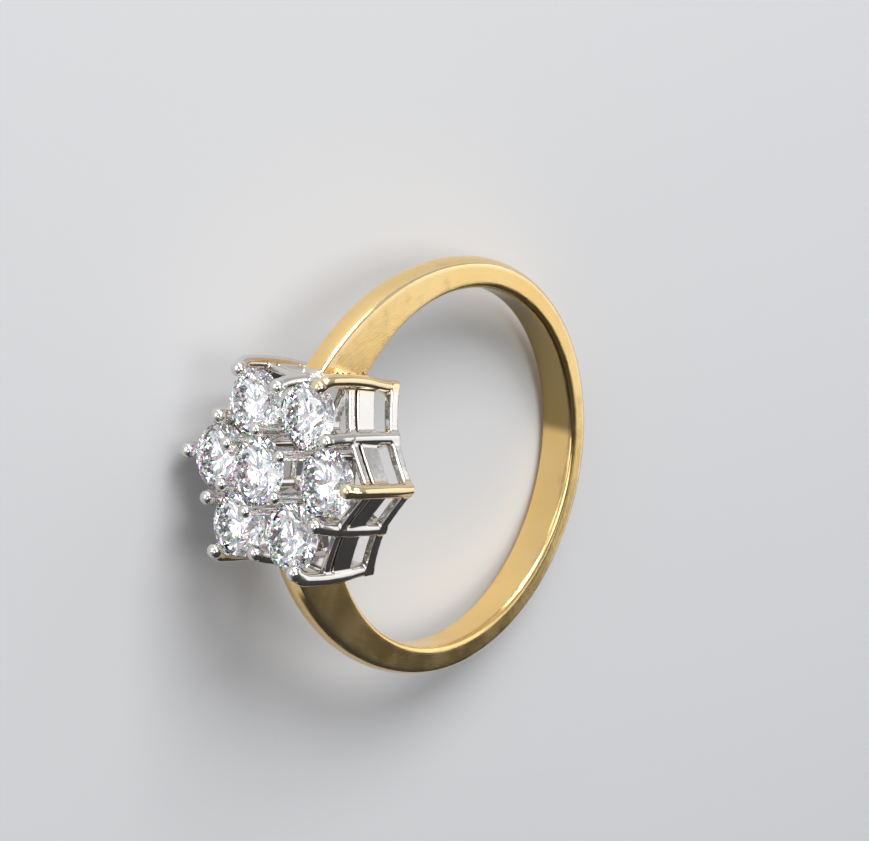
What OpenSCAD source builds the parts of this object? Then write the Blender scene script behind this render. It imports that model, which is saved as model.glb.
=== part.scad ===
// Seven-stone cluster ring: a two-colour gold ring lying on its side.
// Six round stones stand in a ring round a seventh, which is set higher.
// The finger's axis leans back from upright, because the lowest claw props up the head.

/* [Finger] */
// Inside diameter of the hoop
finger_d = 17; // [15:0.5:20]

/* [Shank] */
// Width of the shank at its back
shank_w_back = 2; // [1.6:0.1:2.4]
// Width of the shank's shoulders where they meet the head
shank_w_front = 1.1; // [1:0.1:1.4]
// Thickness under the crest at the back and the sides
shank_t = 1.4; // [1.3:0.05:1.5]
// Height of the shoulders above the top of the finger's hole, where they meet the head
shoulder_rise = 2.05; // [1.8:0.05:2.1]
// Radius of the dome across the shank
dome_r = 1.35; // [1.35:0.05:1.6]

/* [Stones] */
// Diameter of each stone
stone_d = 3; // [2.9:0.05:3]
// Distance between the centres of neighbouring stones
stone_pitch = 3.12; // [3.1:0.02:3.2]
// Rise of the outer stones' girdles above the finger's hole
girdle_rise = 3.6; // [3.55:0.05:3.8]
// Rise of the centre stone above the outer six
centre_rise = 1.02; // [0.9:0.02:1.1]

/* [Claws] */
// Diameter of an outer claw's wire
claw_d = 0.62; // [0.56:0.02:0.64]
// Diameter of an inner claw's wire
inner_claw_d = 0.5; // [0.44:0.02:0.52]
// Diameter of the bead at an outer claw's tip
bead_d = 0.72; // [0.66:0.02:0.72]
// Diameter of the bead at an inner claw's tip
inner_bead_d = 0.7; // [0.6:0.02:0.72]
// Height of a bead's centre above its stone's girdle
bead_lift = 0.46; // [0.46:0.02:0.5]

/* [Gallery] */
// Thickness of the plates and rails between the claws
wall_t = 0.3; // [0.24:0.02:0.36]
// Depth of the rail round the finger's hole
rail_depth = 0.5; // [0.4:0.05:0.6]
// Distance from the finger's hole to the plates
plate_from = 1.4; // [1.2:0.05:1.5]
// Distance from the finger's hole to the top of the plates
plate_to = 2.55; // [2.4:0.05:2.6]
// Distance from the finger's hole to the upper rail
upper_from = 2.72; // [2.65:0.02:2.8]
// Distance from the finger's hole to the top of the upper rail
upper_to = 3.1; // [3:0.02:3.15]

/* [Hidden] */
$fn = 96;

finger_r = finger_d / 2;
claw_r = claw_d / 2;
joint_gap = 0.03;
far = 30;

// Each claw's centreline from foot to tip: [distance from the head's axis, rise above the finger's hole]
bead_rise = girdle_rise + bead_lift;
CORNER_CLAW = [
    [4.56, -1.7], [4.8, 0], [4.95, 1], [5.04, 2.2], [5.04, 3.1], [4.99, 3.66], [4.7, bead_rise]
];
SIDE_CLAW = [
    [3.9, -1.7], [3.98, 0], [4.01, 1], [3.99, 2.2], [3.92, 3.1], [3.83, 3.66], [3.68, bead_rise]
];
inner_r = stone_pitch / sqrt(3);
INNER_CLAW = [
    [inner_r, -0.6], [inner_r, 1.5], [inner_r, bead_rise], [inner_r, bead_rise + centre_rise]
];

// Distance of a claw's centreline from the head's axis, at a rise above the finger's hole
function reach(line, rise) = lookup(rise, [for (p = line) [p[1], p[0]]]);

// The claws' feet reach the finger's hole, and the lowest of them props up the head
foot_out = reach(CORNER_CLAW, 0) + claw_r;

// Shank: its outer surface is a round hoop at the back, and on each side a wider arc that rises to the head
shank_end = 4.34;
hoop_r = finger_r + shank_t;
shoulder_h = finger_r + shoulder_rise;
arch_shift = (pow(shank_end, 2) + pow(shoulder_h, 2) - pow(hoop_r, 2)) / (2 * (hoop_r - shank_end));
arch_r = hoop_r + arch_shift;
back_corner = hoop_r - dome_r + sqrt(pow(dome_r, 2) - pow(shank_w_back / 2, 2));

// Rest: the shank's lower back edge and the lowest claw's foot are on the floor
lean = atan((foot_out - shank_w_back / 2) / (finger_r + back_corner));
function down(y, z) = z * cos(lean) - y * sin(lean);
function along(y, z) = y * cos(lean) + z * sin(lean);
lift = -down(back_corner, -shank_w_back / 2);
back_y = along(hoop_r - dome_r, 0) + dome_r;
front_y = along(-(finger_r + bead_rise + centre_rise), -inner_r * cos(30)) - inner_bead_d / 2;
middle_y = (back_y + front_y) / 2;

// Turns a thing from the ring's own frame, finger axis up, to where it lies
module at_rest() {
    translate([0, -middle_y, lift]) rotate([-lean, 0, 0]) children();
}

// Puts a thing from the head's frame, head axis up and finger axis along X, on top of the finger's hole
module in_head() {
    rotate([90, -90, 0]) translate([0, 0, finger_r]) children();
}

// Point number i of a list, held at the ends
function held(list, i) = list[min(max(i, 0), len(list) - 1)];

// Smooth curve through the points of a list: a point at parameter t, from 0 to the last index
function curve(list, t) =
    let (i = min(floor(t), len(list) - 2), u = t - i)
    let (a = held(list, i - 1), b = list[i], c = list[i + 1], d = held(list, i + 2))
    0.5 * (2 * b + (c - a) * u + (2 * a - 5 * b + 4 * c - d) * u * u + (3 * b - a - 3 * c + d) * u * u * u);

// Direction of the curve in the plane of the claw
function heading(list, t) =
    let (e = 0.02, last = len(list) - 1)
    let (v = curve(list, min(t + e, last)) - curve(list, max(t - e, 0)))
    v / norm(v);

// Claw: a wire swept along its centreline, then a round bead
bead_rings = 4;
claw_sides = 10;
module claw(line, wire_r, bead_r, wire_rings) {
    last = len(line) - 1;
    tip = line[last];
    aim = heading(line, last);
    neck = asin(wire_r / bead_r);
    rings = concat(
        [for (i = [0 : wire_rings]) let (t = (last - 0.5) * i / wire_rings)
            [curve(line, t), heading(line, t), wire_r]],
        [for (j = [0 : bead_rings]) let (a = neck + (172 - neck) * j / bead_rings)
            [tip - bead_r * cos(a) * aim, aim, bead_r * sin(a)]]
    );
    points = [for (r = rings, s = [0 : claw_sides - 1]) let (a = 360 * s / claw_sides)
        [r[0][0] + r[1][1] * r[2] * cos(a), r[2] * sin(a), r[0][1] - r[1][0] * r[2] * cos(a)]];
    n = claw_sides;
    sides = [for (k = [0 : len(rings) - 2], s = [0 : n - 1])
        [k * n + s, (k + 1) * n + s, (k + 1) * n + (s + 1) % n, k * n + (s + 1) % n]];
    first_end = [for (s = [0 : n - 1]) s];
    last_end = [for (s = [n - 1 : -1 : 0]) (len(rings) - 1) * n + s];
    polyhedron(points, concat([first_end], sides, [last_end]));
}

// Wall between two claws, each given by its line and its angle round the head, a little wider at the top
panel_low = -1.5;
panel_high = 3.4;
panel_middle = 0.8;
panel_flare = 0.01;
module panel(line_a, angle_a, line_b, angle_b, t) {
    hull() for (rise = [panel_low, panel_high], end = [[line_a, angle_a], [line_b, angle_b]]) {
        out = reach(end[0], panel_middle) * (1 + panel_flare * (rise - panel_middle));
        translate([out * cos(end[1]), out * sin(end[1]), rise]) cylinder(d = t, h = 0.01, $fn = 6);
    }
}

// Round bar along the finger's axis, its surface at a distance outside the finger's hole
bar_sides = 104;
module finger_bar(out) {
    translate([0, 0, -finger_r]) rotate([0, 90, 0])
        cylinder(r = finger_r + out, h = far, center = true, $fn = bar_sides);
}

module finger_shell(from, to) {
    difference() {
        finger_bar(to);
        finger_bar(from);
    }
}

// Outer walls join each corner claw to the side claws beside it
module outer_walls(t) {
    for (a = [0 : 60 : 300], turn = [-30, 30])
        panel(CORNER_CLAW, a, SIDE_CLAW, a + turn, t);
}

// Spokes and the inner hexagon tie the inner claws in
module inner_walls(t) {
    for (a = [30 : 60 : 330]) {
        panel(INNER_CLAW, a, SIDE_CLAW, a, t);
        panel(INNER_CLAW, a, INNER_CLAW, a + 60, t);
    }
}

module rails() {
    intersection() {
        outer_walls(wall_t);
        union() {
            finger_shell(plate_from, plate_to);
            finger_shell(upper_from, upper_to);
        }
    }
    intersection() {
        union() {
            outer_walls(wall_t + 0.1);
            inner_walls(wall_t + 0.1);
        }
        finger_shell(-rail_depth, rail_depth);
    }
    intersection() {
        inner_walls(wall_t);
        finger_shell(upper_from - 0.3, upper_to - 0.1);
    }
}

// Solder pads carry the shank's ends, against the side claws that face them
pad_w = shank_w_front - 0.1;
pad_in = 3.9;
pad_out = shank_end - joint_gap;
pad_from = -2;
pad_to = shoulder_rise - 0.15;
module pads() {
    for (side = [-1, 1])
        translate([0, side * (pad_in + pad_out) / 2, (pad_from + pad_to) / 2])
            cube([pad_w, pad_out - pad_in, pad_to - pad_from], center = true);
}

module head() {
    color("gainsboro") at_rest() in_head() difference() {
        union() {
            for (a = [0 : 60 : 300]) rotate(a) claw(CORNER_CLAW, claw_r, bead_d / 2, 8);
            for (a = [30 : 60 : 330]) rotate(a) claw(SIDE_CLAW, claw_r, bead_d / 2, 8);
            for (a = [30 : 60 : 330]) rotate(a) claw(INNER_CLAW, inner_claw_d / 2, inner_bead_d / 2, 3);
            rails();
            pads();
        }
        finger_bar(0);
    }
}

// Section of the shank from the middle of its arc: a domed outside over straight sides
section_depth = 4;
module shank_section(arc_r) {
    translate([arc_r - dome_r, 0]) circle(r = dome_r);
    translate([arc_r - section_depth, -dome_r]) square([section_depth - dome_r, 2 * dome_r]);
}

module hoop() {
    intersection() {
        rotate_extrude() shank_section(hoop_r);
        translate([-far, 0, -far / 2]) cube([2 * far, far, far]);
    }
    for (side = [-1, 1])
        intersection() {
            translate([-side * arch_shift, 0, 0]) rotate_extrude() shank_section(arch_r);
            translate([min(side, 0) * far, -far, -far / 2]) cube([far, far, far]);
        }
}

// Both side faces taper from the back to the head
module shank_taper() {
    slope = (shank_w_back - shank_w_front) / 2 / (back_corner + shoulder_h);
    function half_width(y) = shank_w_back / 2 - slope * (back_corner - y);
    front = -shoulder_h - 1;
    rotate([90, 0, 90]) linear_extrude(far, center = true) polygon([
        for (p = [[front, -1], [hoop_r, -1], [hoop_r, 1], [front, 1]]) [p[0], p[1] * half_width(p[0])]
    ]);
}

module shank() {
    color("goldenrod") at_rest() difference() {
        intersection() {
            hoop();
            shank_taper();
        }
        cylinder(r = finger_r, h = far, center = true);
        translate([-shank_end, -far, -far / 2]) cube([2 * shank_end, far, far]);
    }
}

// Round brilliant: table, stars, kites and halves above a girdle of sixteen flats, kites and halves below
table_share = 0.57;
crown_share = 0.15;
girdle_share = 0.03;
pavilion_share = 0.43;
star_share = 0.5;
lower_half_share = 0.77;
module brilliant() {
    r = stone_d / 2;
    table_r = table_share * r;
    edge_h = girdle_share * stone_d / 2;
    table_h = edge_h + crown_share * stone_d;
    culet_h = -edge_h - pavilion_share * stone_d;
    star_r = table_r * cos(22.5) + star_share * (r - table_r * cos(22.5));
    star_h = table_h - (table_h - edge_h) * (star_r * cos(22.5) - table_r) / (r - table_r);
    lower_r = (1 - lower_half_share) * r;
    lower_h = culet_h + (-edge_h - culet_h) * lower_r * cos(22.5) / r;
    function ring(n, radius, h, turn) =
        [for (i = [0 : n - 1]) [radius * cos(360 * i / n + turn), radius * sin(360 * i / n + turn), h]];
    points = concat(
        ring(8, table_r, table_h, 0), ring(8, star_r, star_h, 22.5), ring(16, r, edge_h, 0),
        ring(16, r, -edge_h, 0), ring(8, lower_r, lower_h, 22.5), [[0, 0, culet_h]]
    );
    function star(k) = 8 + (k + 8) % 8;
    function upper(j) = 16 + j % 16;
    function under(j) = 32 + j % 16;
    function lower(k) = 48 + (k + 8) % 8;
    culet = 56;
    faces = concat(
        [[for (k = [7 : -1 : 0]) k]],
        [for (k = [0 : 7]) [k, (k + 1) % 8, star(k)]],
        [for (k = [0 : 7]) [k, star(k), upper(2 * k), star(k - 1)]],
        [for (k = [0 : 7]) [star(k), upper(2 * k + 1), upper(2 * k)]],
        [for (k = [0 : 7]) [star(k), upper(2 * k + 2), upper(2 * k + 1)]],
        [for (j = [0 : 15]) [upper(j), upper(j + 1), under(j + 1), under(j)]],
        [for (k = [0 : 7]) [under(2 * k), lower(k), culet, lower(k - 1)]],
        [for (k = [0 : 7]) [under(2 * k), under(2 * k + 1), lower(k)]],
        [for (k = [0 : 7]) [under(2 * k + 1), under(2 * k + 2), lower(k)]]
    );
    polyhedron(points, faces);
}

// Stone number 0 is the centre one, and numbers 1 to 6 go round it
turn_step = 8;
module stone(i) {
    color("azure") at_rest() in_head()
        rotate(60 * i) translate([i == 0 ? 0 : stone_pitch, 0, girdle_rise + (i == 0 ? centre_rise : 0)])
            rotate(turn_step * i) brilliant();
}

shank();
head();
stone(0);  // stone_centre
stone(1);  // stone_1
stone(2);  // stone_2
stone(3);  // stone_3
stone(4);  // stone_4
stone(5);  // stone_5
stone(6);  // stone_6
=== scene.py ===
"""Cluster ring on its side: a yellow gold shank, a white gold head and seven round brilliants."""
import math

import bmesh
import bpy
import numpy as np
import openvdb
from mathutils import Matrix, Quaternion, Vector


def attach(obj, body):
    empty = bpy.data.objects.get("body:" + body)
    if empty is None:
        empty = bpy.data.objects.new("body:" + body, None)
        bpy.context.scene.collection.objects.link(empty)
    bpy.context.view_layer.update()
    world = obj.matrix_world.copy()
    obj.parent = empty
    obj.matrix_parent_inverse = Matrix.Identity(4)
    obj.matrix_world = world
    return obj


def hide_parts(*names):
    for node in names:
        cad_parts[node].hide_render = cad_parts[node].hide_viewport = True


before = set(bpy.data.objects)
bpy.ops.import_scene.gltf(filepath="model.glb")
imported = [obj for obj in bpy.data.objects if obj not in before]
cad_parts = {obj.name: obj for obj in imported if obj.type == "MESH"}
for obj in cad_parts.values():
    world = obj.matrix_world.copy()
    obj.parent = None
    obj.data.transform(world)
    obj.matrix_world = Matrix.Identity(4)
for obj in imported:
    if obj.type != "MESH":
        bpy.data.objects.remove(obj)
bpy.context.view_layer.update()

MM = 0.001

# Sizes of the ring, in millimetres
FINGER_R = 8.5
SHANK_W_BACK, SHANK_W_FRONT = 2.0, 1.1
SHANK_T = 1.4
SHOULDER_RISE = 2.05
DOME_R = 1.35
SHANK_END = 4.34
STONE_D = 3.0
STONE_PITCH = 3.12
GIRDLE_RISE = 3.6
CENTRE_RISE = 1.02
CLAW_R, INNER_CLAW_R = 0.31, 0.25
BEAD_R, INNER_BEAD_R = 0.36, 0.3
BEAD_RISE = GIRDLE_RISE + 0.46
WALL_T = 0.3
RAIL_DEPTH = 0.5
RAIL_T = WALL_T + 0.1
PLATE_FROM, PLATE_TO = 1.4, 2.55
UPPER_FROM, UPPER_TO = 2.72, 3.1
SPOKE_FROM, SPOKE_TO = UPPER_FROM - 0.3, UPPER_TO - 0.1
INNER_R = STONE_PITCH / math.sqrt(3)

# Each claw's centreline from foot to tip: distance from the head's axis, rise above the finger's hole
CORNER_CLAW = [(4.56, -1.7), (4.8, 0), (4.95, 1), (5.04, 2.2), (5.04, 3.1), (4.99, 3.66), (4.7, BEAD_RISE)]
SIDE_CLAW = [(3.9, -1.7), (3.98, 0), (4.01, 1), (3.99, 2.2), (3.92, 3.1), (3.83, 3.66), (3.68, BEAD_RISE)]
INNER_CLAW = [(INNER_R, -0.6), (INNER_R, 1.5), (INNER_R, BEAD_RISE), (INNER_R, BEAD_RISE + CENTRE_RISE)]


def reach(line, rise):
    """Distance of a claw's centreline from the head's axis, at a rise above the finger's hole."""
    return float(np.interp(rise, [p[1] for p in line], [p[0] for p in line]))


# The hoop's outside is round at the back, and on each side a wider arc that rises to the head.
# The ring leans back until its back edge and its lowest claw touch the floor
hoop_r = FINGER_R + SHANK_T
shoulder_h = FINGER_R + SHOULDER_RISE
arch_shift = (SHANK_END ** 2 + shoulder_h ** 2 - hoop_r ** 2) / (2 * (hoop_r - SHANK_END))
back_corner = hoop_r - DOME_R + math.sqrt(DOME_R ** 2 - (SHANK_W_BACK / 2) ** 2)
foot_out = reach(CORNER_CLAW, 0) + CLAW_R
lean = math.atan((foot_out - SHANK_W_BACK / 2) / (FINGER_R + back_corner))
lift = SHANK_W_BACK / 2 * math.cos(lean) + back_corner * math.sin(lean)
back_y = (hoop_r - DOME_R) * math.cos(lean) + DOME_R
top_rise = FINGER_R + BEAD_RISE + CENTRE_RISE
front_y = -top_rise * math.cos(lean) - INNER_R * math.cos(math.radians(30)) * math.sin(lean) - INNER_CLAW_R
middle_y = (back_y + front_y) / 2


def from_ring(points):
    """From the ring's own frame, finger's axis up, in millimetres, to where it lies, in metres."""
    p = np.asarray(points, float)
    y = p[..., 1] * math.cos(lean) + p[..., 2] * math.sin(lean) - middle_y
    z = p[..., 2] * math.cos(lean) - p[..., 1] * math.sin(lean) + lift
    return np.stack([p[..., 0], y, z], -1) * MM


def from_head(points):
    """From the head's frame: its axis up from the top of the finger's hole, the finger's axis along X."""
    p = np.asarray(points, float)
    return from_ring(np.stack([-p[..., 1], -p[..., 2] - FINGER_R, p[..., 0]], -1))


def mesh_piece(name, points, faces, slot, *nodes):
    """A piece of the ring that takes the place of CAD nodes."""
    mesh = bpy.data.meshes.new(name)
    mesh.from_pydata(points, [], faces)
    piece = bpy.data.objects.new(name, mesh)
    bpy.context.scene.collection.objects.link(piece)
    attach(piece, "root")
    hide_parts(*nodes)
    return piece


def keep(piece, name, values):
    """Store a number or a vector at each point of a piece, for its material."""
    kind, field = ("FLOAT", "value") if values.ndim == 1 else ("FLOAT_VECTOR", "vector")
    attribute = piece.data.attributes.new(name, kind, "POINT")
    attribute.data.foreach_set(field, values.astype(np.float32).ravel())


# Camera: a rolled view from above the head, as the photograph sees the ring
CAMERA_AT = Vector((-18.03, -86.05, 110.60)) * MM
CAMERA_AIM = Vector((-2.526, -1.221, 5.870)) * MM
CAMERA_ROLL = math.radians(106.07)
FOCAL_PIXELS = 3000
FRAME_PIXELS = 869

camera = bpy.data.objects.new("camera", bpy.data.cameras.new("camera"))
bpy.context.scene.collection.objects.link(camera)
bpy.context.scene.camera = camera
camera.data.sensor_width = 36
camera.data.lens = FOCAL_PIXELS * camera.data.sensor_width / FRAME_PIXELS
camera.data.clip_start, camera.data.clip_end = 0.01, 10
camera.location = CAMERA_AT
camera.rotation_mode = "QUATERNION"
level = (CAMERA_AIM - CAMERA_AT).to_track_quat("-Z", "Y")
camera.rotation_quaternion = level @ Quaternion((0, 0, 1), CAMERA_ROLL)


# Shank: sections round the hoop, each an outline of straight sides and a dome with its corners rounded

BACK_STATIONS, SIDE_STATIONS = 180, 120
CORNER_STEPS, EDGE_STEPS, FACE_STEPS, DOME_STEPS = 8, 6, 8, 27
OUTER_CORNER = 0.12

# Places round the hoop in degrees from the head: where the sections end, and where the inner corners widen
LAST_STATION = 33
INNER_WIDENS = (50, 95)
INNER_AT_HEAD, INNER_AT_BACK = 0.14, 0.34

# How far from the head its orange tint reaches, in degrees, and over how many it fades
SOLDER_TINT_TO, SOLDER_TINT_FADE = 62, 34

# The painted dark reflection inside the band, in degrees from the back: its middle, its reach each way and
# its soft edge
DARK_REFLECTION_AT, DARK_REFLECTION_TO, DARK_REFLECTION_FADE = 50, 40, 3


def half_width(y):
    """Half the shank's width between its side faces, which taper from the back to the head."""
    slope = (SHANK_W_BACK - SHANK_W_FRONT) / 2 / (back_corner + shoulder_h)
    return SHANK_W_BACK / 2 - slope * (back_corner - y)


def spread(a, b, count):
    """Points from one to another, the last one left out."""
    t = np.arange(count)[:, None] / count
    return np.array(a) * (1 - t) + np.array(b) * t


def round_corner(a, corner, b, size, count):
    """A curve that starts and ends a little way from a corner, towards the points before and after it."""
    a, corner, b = (np.array(p, float) for p in (a, corner, b))
    start = corner + (a - corner) / np.linalg.norm(a - corner) * size
    end = corner + (b - corner) / np.linalg.norm(b - corner) * size
    t = np.linspace(0, 1, count)[:, None]
    return (1 - t) ** 2 * start + 2 * t * (1 - t) * corner + t ** 2 * end


def section(turn):
    """The shank's outline in the plane through its arc's middle at an angle from the head: [x, y, z]."""
    side = 1 if turn > 0 else -1
    front = abs(turn) < math.pi / 2
    shift = arch_shift if front else 0
    arc_r = hoop_r + shift
    sine, cosine = math.sin(abs(turn)), math.cos(turn)
    inner = shift * sine + math.sqrt(FINGER_R ** 2 - (shift * cosine) ** 2)
    inner_side = half_width(-inner * cosine)
    side_out = arc_r - DOME_R + math.sqrt(DOME_R ** 2 - half_width(-arc_r * cosine) ** 2)
    outer_side = half_width(-side_out * cosine)
    lean_out = math.asin(outer_side / DOME_R)
    low_in, high_in = (inner, -inner_side), (inner, inner_side)
    low_out, high_out = (side_out, -outer_side), (side_out, outer_side)
    near_corner = lean_out * (1 - OUTER_CORNER / outer_side)
    inner_round = np.interp(math.degrees(abs(turn)), INNER_WIDENS, (INNER_AT_HEAD, INNER_AT_BACK))
    swing = np.linspace(near_corner, -near_corner, DOME_STEPS)
    dome = np.stack([arc_r - DOME_R + DOME_R * np.cos(swing), DOME_R * np.sin(swing)], -1)
    at_low = round_corner(high_in, low_in, low_out, inner_round, CORNER_STEPS)
    at_high = round_corner(high_out, high_in, low_in, inner_round, CORNER_STEPS)
    out_high = round_corner(dome[0], high_out, high_in, OUTER_CORNER, EDGE_STEPS)
    out_low = round_corner(low_in, low_out, dome[-1], OUTER_CORNER, EDGE_STEPS)
    low_face = spread(at_low[-1], out_low[0], FACE_STEPS)[1:]
    high_face = spread(out_high[-1], at_high[0], FACE_STEPS)[1:]
    inner_face = spread(at_high[-1], at_low[0], FACE_STEPS)[1:]
    outside = dome[::-1][1:-1]
    line = np.concatenate([at_low, low_face, out_low, outside, out_high, high_face, at_high, inner_face])
    along = line[:, 0]
    return np.stack([side * (along * sine - shift), -along * cosine, line[:, 1]], -1)


def make_shank():
    """The shank: its sections joined in one skin, its ends cut off flat where they meet the head."""
    front = np.linspace(math.radians(LAST_STATION), math.pi / 2, SIDE_STATIONS, endpoint=False)
    back = np.linspace(math.pi / 2, 3 * math.pi / 2, BACK_STATIONS)
    turns = np.concatenate([front, back, 2 * math.pi - front[::-1]])
    turns = np.where(turns > math.pi, turns - 2 * math.pi, turns)
    rings = [section(turn) for turn in turns]
    points = np.concatenate(rings)
    n, count = len(rings[0]), len(rings)
    i, j = np.meshgrid(np.arange(count - 1), np.arange(n), indexing="ij")
    k = (j + 1) % n
    faces = np.stack([i * n + j, i * n + k, (i + 1) * n + k, (i + 1) * n + j], -1).reshape(-1, 4).tolist()
    faces.append(list(range(n - 1, -1, -1)))
    faces.append([(count - 1) * n + s for s in range(n)])
    piece = mesh_piece("shank_band", points, faces, "yellow_gold", "shank")
    steps = np.linalg.norm(np.diff(points.reshape(count, n, 3), axis=1), axis=2)
    around = np.concatenate([np.zeros((count, 1)), np.cumsum(steps, 1)], 1)
    run = np.broadcast_to((np.unwrap(turns) * hoop_r)[:, None], around.shape)
    first = CORNER_STEPS + FACE_STEPS - 1
    second = first + EDGE_STEPS + DOME_STEPS - 2
    # Rows along the outer corners, which the material paints pale as a painted highlight
    edge = np.zeros((count, n))
    edge[:, first : first + EDGE_STEPS] = edge[:, second : second + EDGE_STEPS] = 1
    keep(piece, "sweep", np.stack([run, around, np.zeros_like(run)], -1).reshape(-1, 3))
    keep(piece, "edge", edge.ravel())
    by_head = (math.radians(SOLDER_TINT_TO) - np.abs(turns)) / math.radians(SOLDER_TINT_FADE)
    keep(piece, "by_head", np.clip(by_head, 0, 1).repeat(n))
    from_back = np.degrees((turns + 2 * math.pi) % (2 * math.pi)) - 180
    half_corner = CORNER_STEPS // 2
    inside = np.zeros(n)
    inside[:half_corner] = inside[-FACE_STEPS + 1 - half_corner :] = 1
    # Inside the band near the back, a painted dark reflection of dark surroundings
    dark_reflection = np.clip((DARK_REFLECTION_TO - np.abs(from_back - DARK_REFLECTION_AT)) / DARK_REFLECTION_FADE, 0, 1)
    keep(piece, "dark_reflection", (dark_reflection[:, None] * inside).ravel())
    bm = bmesh.new()
    bm.from_mesh(piece.data)
    for side in (-1, 1):
        geometry = list(bm.verts) + list(bm.edges) + list(bm.faces)
        cut = bmesh.ops.bisect_plane(
            bm, geom=[g for g in geometry if front_side(g, side)], plane_co=(side * SHANK_END, 0, 0),
            plane_no=(-side, 0, 0), clear_outer=True)
        edges = [g for g in cut["geom_cut"] if isinstance(g, bmesh.types.BMEdge)]
        bmesh.ops.contextual_create(bm, geom=edges)
    bmesh.ops.recalc_face_normals(bm, faces=bm.faces)
    for vert in bm.verts:
        vert.co = Vector(from_ring(vert.co))
    bm.to_mesh(piece.data)
    bm.free()
    for polygon in piece.data.polygons:
        polygon.use_smooth = len(polygon.vertices) <= 4
    return piece


def front_side(part, side):
    """True for geometry on one side of the head's end of the hoop, where the shank is cut."""
    verts = [part] if isinstance(part, bmesh.types.BMVert) else part.verts
    return all(v.co.y < 0 and v.co.x * side > 0 for v in verts)


# Head: a field of distances to the claws, walls and pads, blended where they are soldered, and its surface

# The grid's cell, how many cells make a coarse one, and how many the field reaches each way
VOXEL = 0.07
COARSE = 4
BAND_CELLS = 3

# Within how many coarse cells of the metal the field is worked out finely, and how points settle on it
NEAR_COARSE = 1.8
SETTLE_STEPS = 3
LEAST_SLOPE = 0.3

# The part of the head's frame that the grid covers, in millimetres
GRID_LOW = (-5.7, -5.7, -2.2)
GRID_HIGH = (5.7, 5.7, BEAD_RISE + CENTRE_RISE + 0.7)

# Widths over which neighbours blend
SOLDER = 0.14
EDGE = 0.1
FOOT_EDGE = 0.08
BEAD_NECK = 0.05

# The plates' walls lean out a little from the head's axis
PANEL_MIDDLE, PANEL_FLARE, PANEL_SET_BACK = 0.8, 0.01, 0.12

# The pads that the shank's ends are soldered to, proud of it by the head and sunk in it further out
PAD_W, PAD_IN, PAD_OUT, PAD_FROM = 1.1, 3.9, 4.5, -2
PAD_PROUD, PAD_SUNK, PAD_FADE = 0.05, 0.03, 0.45

# How far round the pads no painted shade and grime show
CLEAN_IN, CLEAN_SIDE = 0.1, 0.3

# Distances at which a hollow is felt
CREASE_REACHES = (0.15, 0.3, 0.6)

# The claws whose plating is worn to yellow, in degrees, how wide they are and how far out it starts
WORN_CLAWS = (0, 60)
WORN_FULL, WORN_SPREAD = 1.5, 4.5
WORN_FROM_R, WORN_FADE = 4.5, 0.3

# Half the angle between two corner claws, by which the head repeats and mirrors
SECTOR = math.radians(30)


def blend_min(a, b, k):
    """The lesser of two distances, rounded over a width k where they are alike."""
    h = np.maximum(k - np.abs(a - b), 0) / k
    return np.minimum(a, b) - h * h * k / 4


def blend_max(a, b, k):
    """The greater of two distances, rounded likewise."""
    return -blend_min(-a, -b, k)


def curve(line, steps=5):
    """Points along the smooth curve through a line's points."""
    p = np.array(line, float)
    held = np.concatenate([p[:1], p, p[-1:]])
    out = []
    for i in range(len(p) - 1):
        a, b, c, d = held[i : i + 4]
        u = (np.arange(steps) / steps)[:, None]
        out.append(0.5 * (2 * b + (c - a) * u + (2 * a - 5 * b + 4 * c - d) * u ** 2
                          + (3 * b - a - 3 * c + d) * u ** 3))
    return np.concatenate(out + [p[-1:]])


def to_line(u, z, line):
    """Squared distance in the claw's own plane from points to a centreline."""
    best = np.full(u.shape, 1e9)
    for a, b in zip(line[:-1], line[1:]):
        d = b - a
        t = np.clip(((u - a[0]) * d[0] + (z - a[1]) * d[1]) / (d @ d), 0, 1)
        best = np.minimum(best, (u - a[0] - t * d[0]) ** 2 + (z - a[1] - t * d[1]) ** 2)
    return best


def claw_field(u, w, z, line, wire_r, bead_r):
    """Distance to a claw whose plane has w = 0: a wire and the bead at its tip."""
    wire = np.sqrt(to_line(u, z, curve(line)) + w ** 2) - wire_r
    tip = line[-1]
    bead = np.sqrt((u - tip[0]) ** 2 + w ** 2 + (z - tip[1]) ** 2) - bead_r
    return blend_min(wire, bead, BEAD_NECK)


def to_wall(x, y, z, start, end):
    """Distance to the middle of an upright wall between two places, a little wider at the top."""
    flare = 1 + PANEL_FLARE * (z - PANEL_MIDDLE)
    px, py = x / flare, y / flare
    dx, dy = end[0] - start[0], end[1] - start[1]
    t = np.clip(((px - start[0]) * dx + (py - start[1]) * dy) / (dx * dx + dy * dy), 0, 1)
    return np.hypot(px - start[0] - t * dx, py - start[1] - t * dy) * flare


def set_back(place):
    """A place on the plates' line, moved inwards so that the claws stand proud of the plates."""
    out = math.hypot(*place)
    return tuple(c * (out - PANEL_SET_BACK) / out for c in place)


def band(out, low, high):
    """Distance to a layer between two values."""
    return np.abs(out - (low + high) / 2) - (high - low) / 2


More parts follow.
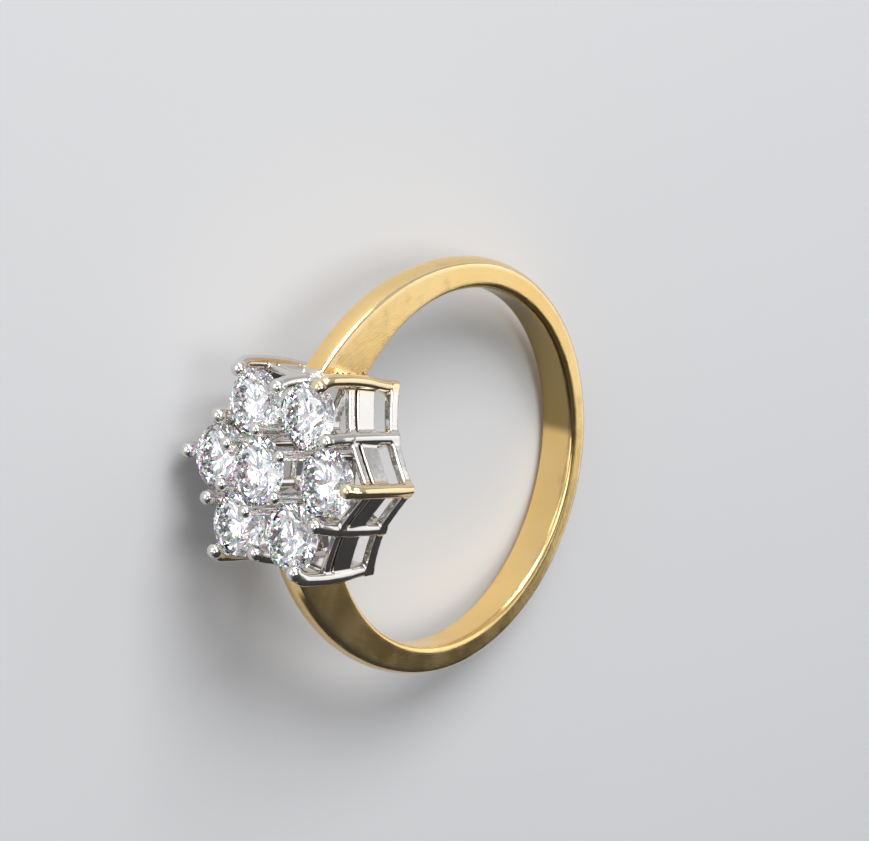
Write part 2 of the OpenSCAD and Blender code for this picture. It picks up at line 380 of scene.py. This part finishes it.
def head_field(p):
    """Distance from points in the head's frame to the metal of the head."""
    a, t, z = p[:, 0], p[:, 1], p[:, 2]
    out = np.hypot(FINGER_R + z, t) - FINGER_R
    r = np.hypot(a, t)
    angle = np.abs((np.arctan2(t, a) + SECTOR) % (2 * SECTOR) - SECTOR)
    x, y = r * np.cos(angle), r * np.sin(angle)
    side_x, side_y = r * np.cos(SECTOR - angle), r * np.sin(SECTOR - angle)
    corner = claw_field(x, y, z, CORNER_CLAW, CLAW_R, BEAD_R)
    side = claw_field(side_x, side_y, z, SIDE_CLAW, CLAW_R, BEAD_R)
    inner = claw_field(side_x, side_y, z, INNER_CLAW, INNER_CLAW_R, INNER_BEAD_R)

    corner_out, side_out = reach(CORNER_CLAW, PANEL_MIDDLE), reach(SIDE_CLAW, PANEL_MIDDLE)
    at_corner = (corner_out, 0)
    at_side = (side_out * math.cos(SECTOR), side_out * math.sin(SECTOR))
    at_inner = (INNER_R * math.cos(SECTOR), INNER_R * math.sin(SECTOR))
    spoke = to_wall(x, y, z, at_inner, at_side)
    hexagon = to_wall(x, y, z, (at_inner[0], 0), at_inner)
    outer_wall = to_wall(x, y, z, at_corner, at_side)
    plate_wall = to_wall(x, y, z, set_back(at_corner), set_back(at_side))
    inner_wall = np.minimum(spoke, hexagon)

    field = blend_min(np.minimum(corner, side), inner, SOLDER)
    for wall, thick, low, high in (
        (plate_wall, WALL_T, PLATE_FROM, PLATE_TO),
        (plate_wall, WALL_T, UPPER_FROM, UPPER_TO),
        (outer_wall, RAIL_T, -RAIL_DEPTH, RAIL_DEPTH),
        (inner_wall, RAIL_T, -RAIL_DEPTH, RAIL_DEPTH),
        (inner_wall, WALL_T, SPOKE_FROM, SPOKE_TO),
    ):
        field = blend_min(field, blend_max(wall - thick / 2, band(out, low, high), EDGE), SOLDER)
    fade = np.clip((PAD_OUT - np.abs(t)) / PAD_FADE, 0, 1)
    proud = fade * (PAD_PROUD + PAD_SUNK) - PAD_SUNK
    dome = np.hypot(np.maximum(z - SHOULDER_RISE + DOME_R, 0), a) - DOME_R - proud
    pad = np.maximum(np.abs(a) - PAD_W / 2 - proud, PAD_FROM - z)
    pad = blend_max(np.maximum(band(np.abs(t), PAD_IN, PAD_OUT), pad), dome, FOOT_EDGE)
    field = blend_min(field, pad, SOLDER)
    return blend_max(field, -out, FOOT_EDGE)


def field_on_grid(low, counts):
    """The head's field on a grid of points, worked out finely only near the metal."""
    def refined(cells):
        for axis in range(3):
            cells = cells.repeat(COARSE, axis)
        return cells[: counts[0], : counts[1], : counts[2]]

    farthest = BAND_CELLS * VOXEL
    shape = [c // COARSE + 2 for c in counts]
    index = np.indices(shape).reshape(3, -1).T
    rough = head_field(low + index * VOXEL * COARSE).reshape(shape)
    nearest = np.full([c - 1 for c in shape], np.inf)
    for corner in np.ndindex(2, 2, 2):
        at_corner = tuple(slice(d, c - 1 + d) for d, c in zip(corner, shape))
        nearest = np.minimum(nearest, np.abs(rough[at_corner]))
    fine = refined(nearest < VOXEL * COARSE * NEAR_COARSE)
    field = np.sign(refined(rough[:-1, :-1, :-1])) * farthest
    field[fine] = head_field(low + np.argwhere(fine) * VOXEL)
    return np.clip(field, -farthest, farthest)


def slope(p, step=0.01):
    """Direction in which the head's field grows."""
    out = np.empty_like(p)
    for k in range(3):
        e = np.zeros(3)
        e[k] = step
        out[:, k] = head_field(p + e) - head_field(p - e)
    return out / (2 * step)


def make_head():
    """The head: the surface where its field is zero, with what its material needs to know at each point."""
    low, high = np.array(GRID_LOW), np.array(GRID_HIGH)
    counts = np.ceil((high - low) / VOXEL).astype(int) + 1
    grid = openvdb.FloatGrid(float(BAND_CELLS * VOXEL))
    grid.copyFromArray(field_on_grid(low, counts))
    points, quads = grid.convertToQuads(0.0)
    points = low + points.astype(float) * VOXEL
    for _ in range(SETTLE_STEPS):
        grad = slope(points)
        steep = np.maximum((grad ** 2).sum(1), LEAST_SLOPE)
        points -= head_field(points)[:, None] * grad / steep[:, None]
    grad = slope(points)
    normals = grad / np.linalg.norm(grad, axis=1)[:, None]
    piece = mesh_piece("head_setting", from_head(points), quads.tolist(), "white_gold", "head")
    bm = bmesh.new()
    bm.from_mesh(piece.data)
    bmesh.ops.recalc_face_normals(bm, faces=bm.faces)
    bm.to_mesh(piece.data)
    bm.free()
    for polygon in piece.data.polygons:
        polygon.use_smooth = True
    turned = from_head(normals) - from_head(np.zeros((1, 3)))
    turned /= np.linalg.norm(turned, axis=1)[:, None]
    piece.data.normals_split_custom_set_from_vertices(turned.tolist())
    a, t = points[:, 0], points[:, 1]
    # How enclosed each point is, an occlusion measure, which the material darkens as painted shade with grime
    crease = np.zeros(len(points))
    for far in CREASE_REACHES:
        crease += np.clip(1 - head_field(points + normals * far) / far, 0, 1) / len(CREASE_REACHES)
    crease[(np.abs(t) > PAD_IN - CLEAN_IN) & (np.abs(a) < PAD_W / 2 + CLEAN_SIDE)] = 0
    keep(piece, "crease", crease)
    angle = np.degrees(np.arctan2(t, a))
    wear = np.zeros(len(points))
    for worn in WORN_CLAWS:
        wear = np.maximum(wear, np.clip(WORN_FULL - np.abs(angle - worn) / WORN_SPREAD, 0, 1))
    keep(piece, "wear", wear * np.clip((np.hypot(a, t) - WORN_FROM_R) / WORN_FADE, 0, 1))
    return piece


# Stones: a round blank cut by the planes of a brilliant's facets

GIRDLE_SIDES = 96
BLANK_H = 4

# How near a point counts as on a cut, and as another point
ON_CUT, SAME_POINT = 1e-5, 1e-4

# Proportions of the diameter, and how far the star and lower half facets reach
TABLE, CROWN, GIRDLE, PAVILION, STAR, LOWER_HALF = 0.57, 0.15, 0.03, 0.43, 0.5, 0.77
TURN_STEP = math.radians(8)
OUTER_STONES = 6


def facet_planes():
    """Each facet's plane as a point and an outward direction, from the places where the facets meet."""
    r = STONE_D / 2
    edge_h = GIRDLE * STONE_D / 2
    table_r, table_h = TABLE * r, edge_h + CROWN * STONE_D
    culet_h = -edge_h - PAVILION * STONE_D
    eighth = math.pi / 4
    star_r = table_r * math.cos(eighth / 2) + STAR * (r - table_r * math.cos(eighth / 2))
    star_h = table_h - (table_h - edge_h) * (star_r * math.cos(eighth / 2) - table_r) / (r - table_r)
    lower_r = (1 - LOWER_HALF) * r
    lower_h = culet_h + (-edge_h - culet_h) * lower_r * math.cos(eighth / 2) / r

    def at(radius, turn, h):
        return Vector((radius * math.cos(turn * eighth), radius * math.sin(turn * eighth), h))

    corners = [(at(table_r, 0, table_h), at(table_r, 1, table_h), at(table_r, 2, table_h))]
    for k in range(8):
        star = at(star_r, k + 0.5, star_h)
        low_star = at(lower_r, k + 0.5, lower_h)
        corners += [
            (at(table_r, k, table_h), at(table_r, k + 1, table_h), star),
            (at(star_r, k - 0.5, star_h), star, at(table_r, k, table_h)),
            (star, at(r, k, edge_h), at(r, k + 0.5, edge_h)),
            (star, at(r, k + 0.5, edge_h), at(r, k + 1, edge_h)),
            (at(lower_r, k - 0.5, lower_h), low_star, Vector((0, 0, culet_h))),
            (low_star, at(r, k, -edge_h), at(r, k + 0.5, -edge_h)),
            (low_star, at(r, k + 0.5, -edge_h), at(r, k + 1, -edge_h)),
        ]
    planes = []
    for a, b, c in corners:
        normal = (b - a).cross(c - a).normalized()
        planes.append((a, normal if normal.dot(a) > 0 else -normal))
    return planes


def turned_by(points, angle):
    """Points turned about the head's axis."""
    sine, cosine = math.sin(angle), math.cos(angle)
    return points @ np.array([[cosine, sine, 0], [-sine, cosine, 0], [0, 0, 1]])


def make_stone(name, node, number):
    """A brilliant, number 0 in the middle and the others round it, each turned a little more in its claws."""
    r = STONE_D / 2
    bm = bmesh.new()
    bmesh.ops.create_cone(bm, cap_ends=True, segments=GIRDLE_SIDES, radius1=r, radius2=r, depth=BLANK_H)
    for point, normal in facet_planes():
        cut = bmesh.ops.bisect_plane(
            bm, geom=list(bm.verts) + list(bm.edges) + list(bm.faces), dist=ON_CUT,
            plane_co=point, plane_no=normal, clear_outer=True)
        edges = [g for g in cut["geom_cut"] if isinstance(g, bmesh.types.BMEdge)]
        if edges:
            bmesh.ops.contextual_create(bm, geom=edges)
    bmesh.ops.remove_doubles(bm, verts=bm.verts, dist=SAME_POINT)
    bmesh.ops.recalc_face_normals(bm, faces=bm.faces)
    bm.verts.index_update()
    points = np.array([v.co for v in bm.verts])
    faces = [[v.index for v in f.verts] for f in bm.faces]
    bm.free()
    points = turned_by(points, TURN_STEP * number)
    if number:
        points = turned_by(points + (STONE_PITCH, 0, GIRDLE_RISE), math.radians(360 / OUTER_STONES * number))
    else:
        points[:, 2] += GIRDLE_RISE + CENTRE_RISE
    return mesh_piece(name, from_head(points), faces, "stone", node)


# Materials. Colours are linear, and noise scales count per metre, or per millimetre along the sweep

GOLD, GOLD_PALE, GOLD_SOLDERED = (0.91, 0.62, 0.245), (0.95, 0.695, 0.32), (0.93, 0.60, 0.25)
# The darkest gold below is a painted dark reflection, for inside the band.
# The pale edge colour below is a painted highlight.
GOLD_SMUDGE, GOLD_EDGE_HIGHLIGHT, GOLD_DARK_REFLECTION = (0.62, 0.38, 0.15), (0.97, 0.80, 0.50), (0.23, 0.17, 0.068)
WHITE_GOLD, WHITE_GOLD_PALE = (0.70, 0.66, 0.62), (0.77, 0.74, 0.705)
# The second colour below darkens the hollows: painted shade, with grime
WHITE_GOLD_WORN, GRIME_AND_PAINTED_SHADE = (0.90, 0.70, 0.42), (0.22, 0.15, 0.09)
STONE_COLOUR = (0.97, 0.98, 1.0)
STONE_IOR, FIRE_SHARE = 2.417, 0.12
FIRE = (((1, 0, 0), 2.38), ((0, 1, 0), STONE_IOR), ((0, 0, 1), 2.46))
FLOOR_COLOUR, CARD_COLOUR, SKY_COLOUR = (0.7, 0.7, 0.71), (0.02, 0.02, 0.02), (0.93, 0.96, 1.0)


def new_material(name):
    material = bpy.data.materials.new(name)
    material.use_nodes = True
    tree = material.node_tree
    tree.nodes.clear()
    return material, tree


def add(tree, kind, **values):
    """A shader node with its own settings and its sockets' values set by name."""
    node = tree.nodes.new("ShaderNode" + kind)
    for key, value in values.items():
        if hasattr(node, key):
            setattr(node, key, value)
        else:
            node.inputs[key.replace("_", " ")].default_value = value
    return node


def stored(tree, name, output="Fac"):
    """A value that the mesh keeps at each point."""
    return add(tree, "Attribute", attribute_name=name).outputs[output]


def show(tree, shader):
    tree.links.new(shader.outputs[0], add(tree, "OutputMaterial").inputs[0])


def noise(tree, vector, scale, detail):
    """A noise texture's value, from coordinates scaled by one number or by one for each direction."""
    node = add(tree, "TexNoise", Detail=detail)
    if isinstance(scale, tuple):
        mapping = add(tree, "Mapping")
        mapping.inputs["Scale"].default_value = scale
        tree.links.new(vector, mapping.inputs["Vector"])
        vector = mapping.outputs["Vector"]
        scale = 1.0
    node.inputs["Scale"].default_value = scale
    tree.links.new(vector, node.inputs["Vector"])
    return node.outputs["Fac"]


def ramp(tree, value, low, high, to_low, to_high):
    """A value taken from one range to another, and kept inside it."""
    node = add(tree, "MapRange")
    for socket, number in (("From Min", low), ("From Max", high), ("To Min", to_low), ("To Max", to_high)):
        node.inputs[socket].default_value = number
    tree.links.new(value, node.inputs["Value"])
    return node.outputs["Result"]


def tint(tree, factor, under, over):
    """A colour that goes from one to another with a factor. Each may be a colour or a socket."""
    node = add(tree, "Mix", data_type="RGBA")
    tree.links.new(factor, node.inputs[0])
    for socket, colour in ((node.inputs[6], under), (node.inputs[7], over)):
        if isinstance(colour, tuple):
            socket.default_value = (*colour, 1)
        else:
            tree.links.new(colour, socket)
    return node.outputs[2]


def bumped(tree, height, strength, distance, before=None):
    """A normal bumped by a height, on top of the bumps before it."""
    node = add(tree, "Bump", Strength=strength, Distance=distance)
    tree.links.new(height, node.inputs["Height"])
    if before is not None:
        tree.links.new(before, node.inputs["Normal"])
    return node.outputs["Normal"]


def gold_material():
    """Yellow gold: patchy, smudged, scratched along the band, with a painted highlight on its edges and a
    painted dark reflection inside.
    """
    material, tree = new_material("yellow gold")
    coords = add(tree, "TexCoord").outputs["Object"]
    sweep = stored(tree, "sweep", "Vector")
    shader = add(tree, "BsdfPrincipled", Metallic=1.0)
    cloud = noise(tree, coords, 230.0, 4.0)
    smudge = noise(tree, coords, 900.0, 5.0)
    scratch = noise(tree, sweep, (0.9, 26.0, 1.0), 4.0)
    scuff = noise(tree, sweep, (9.0, 9.0, 1.0), 6.0)
    colour = tint(tree, ramp(tree, cloud, 0.35, 0.65, 0, 1), GOLD, GOLD_PALE)
    colour = tint(tree, ramp(tree, stored(tree, "by_head"), 0, 1, 0, 0.6), colour, GOLD_SOLDERED)
    colour = tint(tree, ramp(tree, smudge, 0.6, 0.75, 0, 0.35), colour, GOLD_SMUDGE)
    # Pale rows along the outer corners: a painted highlight
    colour = tint(tree, ramp(tree, stored(tree, "edge"), 0, 1, 0, 0.5), colour, GOLD_EDGE_HIGHLIGHT)
    # A painted dark reflection inside the band
    colour = tint(tree, ramp(tree, stored(tree, "dark_reflection"), 0, 1, 0, 0.88), colour, GOLD_DARK_REFLECTION)
    tree.links.new(colour, shader.inputs["Base Color"])
    tree.links.new(ramp(tree, smudge, 0.35, 0.7, 0.09, 0.24), shader.inputs["Roughness"])
    normal = bumped(tree, cloud, 0.25, 0.0002)
    normal = bumped(tree, scratch, 0.12, 0.00003, normal)
    normal = bumped(tree, scuff, 0.08, 0.00003, normal)
    tree.links.new(normal, shader.inputs["Normal"])
    show(tree, shader)
    return material


def white_gold_material():
    """White gold: plated, worn to yellow on two claws, and darkened in its hollows by painted shade and
    grime.
    """
    material, tree = new_material("white gold")
    coords = add(tree, "TexCoord").outputs["Object"]
    shader = add(tree, "BsdfPrincipled", Metallic=1.0)
    cloud = noise(tree, coords, 420.0, 4.0)
    grain = noise(tree, coords, 3500.0, 4.0)
    colour = tint(tree, ramp(tree, cloud, 0.3, 0.7, 0, 1), WHITE_GOLD, WHITE_GOLD_PALE)
    colour = tint(tree, stored(tree, "wear"), colour, WHITE_GOLD_WORN)
    # Hollows darkened by how enclosed they are: painted shade, with grime
    colour = tint(tree, ramp(tree, stored(tree, "crease"), 0.4, 0.9, 0, 0.85), colour, GRIME_AND_PAINTED_SHADE)
    tree.links.new(colour, shader.inputs["Base Color"])
    tree.links.new(ramp(tree, grain, 0.3, 0.75, 0.05, 0.2), shader.inputs["Roughness"])
    normal = bumped(tree, cloud, 0.2, 0.0001)
    normal = bumped(tree, grain, 0.1, 0.00002, normal)
    tree.links.new(normal, shader.inputs["Normal"])
    show(tree, shader)
    return material


def stone_material():
    """Clear stone, with a little of its light bent more or less by colour, which gives it its fire."""
    material, tree = new_material("clear stone")
    clear = add(tree, "BsdfPrincipled", Roughness=0.0, IOR=STONE_IOR)
    clear.inputs["Transmission Weight"].default_value = 1.0
    clear.inputs["Base Color"].default_value = (*STONE_COLOUR, 1)
    fire = None
    for colour, ior in FIRE:
        glass = add(tree, "BsdfGlass", Color=(*colour, 1), Roughness=0.0, IOR=ior)
        if fire is None:
            fire = glass
        else:
            both = add(tree, "AddShader")
            tree.links.new(fire.outputs[0], both.inputs[0])
            tree.links.new(glass.outputs[0], both.inputs[1])
            fire = both
    mixed = add(tree, "MixShader")
    mixed.inputs[0].default_value = FIRE_SHARE
    tree.links.new(clear.outputs[0], mixed.inputs[1])
    tree.links.new(fire.outputs[0], mixed.inputs[2])
    show(tree, mixed)
    return material


shank = make_shank()
shank.data.materials.append(gold_material())
head = make_head()
head.data.materials.append(white_gold_material())
stone_finish = stone_material()
for number in range(1 + OUTER_STONES):
    name = "centre" if number == 0 else str(number)
    stone = make_stone("brilliant_" + name, "stone_" + name, number)
    stone.data.materials.append(stone_finish)


# Floor, card and lights, in metres


def flat_material(name, colour, roughness):
    material, tree = new_material(name)
    shader = add(tree, "BsdfPrincipled", Roughness=roughness)
    shader.inputs["Base Color"].default_value = (*colour, 1)
    show(tree, shader)
    return material


def sheet(name, centre, facing, width, height, material):
    """A flat rectangle of the scene's own, which isn't part of the ring."""
    mesh = bpy.data.meshes.new(name)
    w, h = width / 2, height / 2
    mesh.from_pydata([(-w, -h, 0), (w, -h, 0), (w, h, 0), (-w, h, 0)], [], [(0, 1, 2, 3)])
    plane = bpy.data.objects.new(name, mesh)
    bpy.context.scene.collection.objects.link(plane)
    plane.location = centre
    plane.rotation_mode = "QUATERNION"
    plane.rotation_quaternion = Vector(facing).to_track_quat("Z", "Y")
    mesh.materials.append(material)
    return plane


def softbox(name, at, aim, width, height, glow):
    """An area light of an even brightness that the camera doesn't see."""
    light = bpy.data.lights.new(name, "AREA")
    light.shape = "RECTANGLE"
    light.size, light.size_y = width, height
    light.energy = glow * math.pi * width * height
    lamp = bpy.data.objects.new(name, light)
    bpy.context.scene.collection.objects.link(lamp)
    lamp.location = at
    lamp.rotation_mode = "QUATERNION"
    lamp.rotation_quaternion = (Vector(aim) - Vector(at)).to_track_quat("-Z", "Y")
    lamp.visible_camera = False
    return lamp


FLOOR_W = 3
sheet("floor", (0, 0, 0), (0, 0, 1), FLOOR_W, FLOOR_W, flat_material("floor", FLOOR_COLOUR, 0.6))

# Two lights for everything, and five that only add gloss, where the near faces mirror them
softbox("key", (-0.26, -0.06, 0.23), (0, 0, 0.005), 0.18, 0.18, 9.0)
softbox("top", (-0.03, -0.01, 0.3), (0, 0, 0.005), 0.14, 0.14, 2.8)
for lamp in (
    softbox("back", (-0.034, 0.11, 0.06), (-0.034, 0, 0.02), 0.092, 0.09, 0.84),
    softbox("back_low", (0.019, 0.11, 0.033), (0.019, 0, 0.02), 0.018, 0.03, 0.75),
    softbox("side", (-0.2, -0.055, 0.036), (0, -0.005, 0.004), 0.1, 0.045, 2.6),
    softbox("front", (-0.03, -0.2, 0.055), (0, -0.01, 0.006), 0.17, 0.085, 2.1),
    softbox("front_high", (0.05, -0.15, 0.19), (0, -0.01, 0.006), 0.08, 0.08, 2.2),
):
    lamp.visible_diffuse = False

# A dark card beside the ring, which shows in gloss alone
card = flat_material("card", CARD_COLOUR, 0.8)
dark = sheet("dark_card", (0.016, 0.004, 0.014), (-1, 0, 0), 0.026, 0.056, card)
dark.visible_camera = dark.visible_diffuse = dark.visible_shadow = dark.visible_transmission = False

# A pale sky, brightest to the left and in front
world = bpy.data.worlds.new("world")
bpy.context.scene.world = world
world.use_nodes = True
tree = world.node_tree
sky = tree.nodes["Background"]
sky.inputs["Color"].default_value = (*SKY_COLOUR, 1)
way = add(tree, "SeparateXYZ")
tree.links.new(add(tree, "TexCoord").outputs["Generated"], way.inputs[0])
strength = add(tree, "Math", operation="ADD")
tree.links.new(ramp(tree, way.outputs["X"], -0.45, 0.25, 0.55, 0.06), strength.inputs[0])
tree.links.new(ramp(tree, way.outputs["Y"], -0.95, -0.35, 0.5, 0), strength.inputs[1])
tree.links.new(strength.outputs[0], sky.inputs["Strength"])

bpy.context.scene.cycles.max_bounces = 24
bpy.context.scene.cycles.transmission_bounces = 20
bpy.context.scene.cycles.glossy_bounces = 8
bpy.context.scene.view_settings.view_transform = "Standard"
